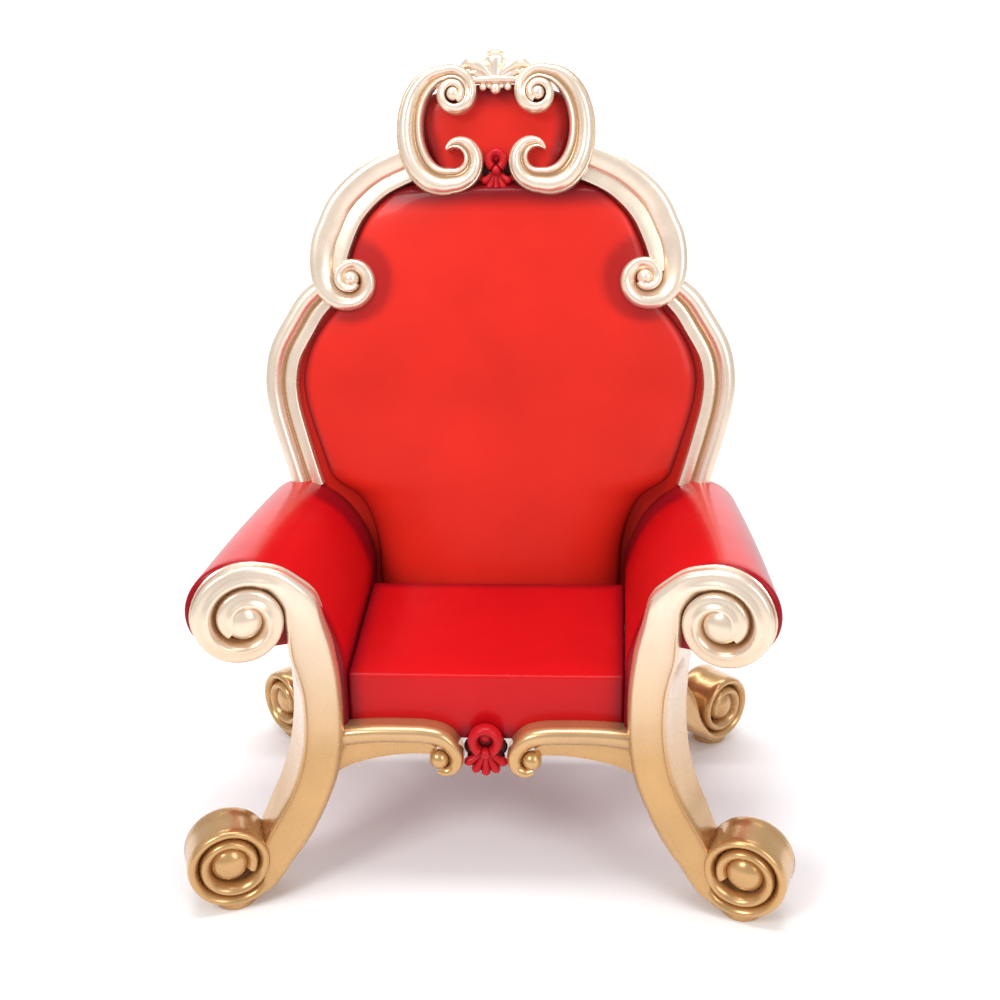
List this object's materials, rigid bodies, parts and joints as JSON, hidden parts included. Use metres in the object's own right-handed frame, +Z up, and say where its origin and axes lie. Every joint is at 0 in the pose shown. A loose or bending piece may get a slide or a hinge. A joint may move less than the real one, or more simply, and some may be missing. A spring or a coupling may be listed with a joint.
{
  "type": "throne",
  "caption": "Tall-backed ceremonial throne chair with a crowned red back, flat seat and rolled arms, framed in bold gold scrolls and standing on scrolled legs.",
  "frame": {"origin": "on the floor at the middle of the throne's overall footprint", "axes": "+Z up, +X to the viewer's right as seen from the front, -Y the way the sitter faces"},
  "size_m": [1.341, 0.9816, 1.7896],
  "materials": {
    "gold_paint": "glossy champagne-gold metallic paint on moulded glass fibre",
    "back_red_gelcoat": "glossy scarlet gelcoat",
    "arm_red_gelcoat": "glossy deep red gelcoat",
    "crimson_gelcoat": "glossy crimson gelcoat"
  },
  "bodies": {
    "root": {"right_front_leg": "gold_paint", "right_rear_leg": "gold_paint", "right_side_rail": "gold_paint", "right_shoulder_scroll": "gold_paint", "right_crest_scroll": "gold_paint", "right_apron_scroll": "gold_paint", "right_arm": "arm_red_gelcoat", "left_front_leg": "gold_paint", "left_rear_leg": "gold_paint", "left_side_rail": "gold_paint", "left_shoulder_scroll": "gold_paint", "left_crest_scroll": "gold_paint", "left_apron_scroll": "gold_paint", "left_arm": "arm_red_gelcoat", "seat": "arm_red_gelcoat", "back_panel": "back_red_gelcoat", "crest_finial": "gold_paint", "crest_rosette": "crimson_gelcoat", "apron_rosette": "crimson_gelcoat"}
  },
  "joints": []
}
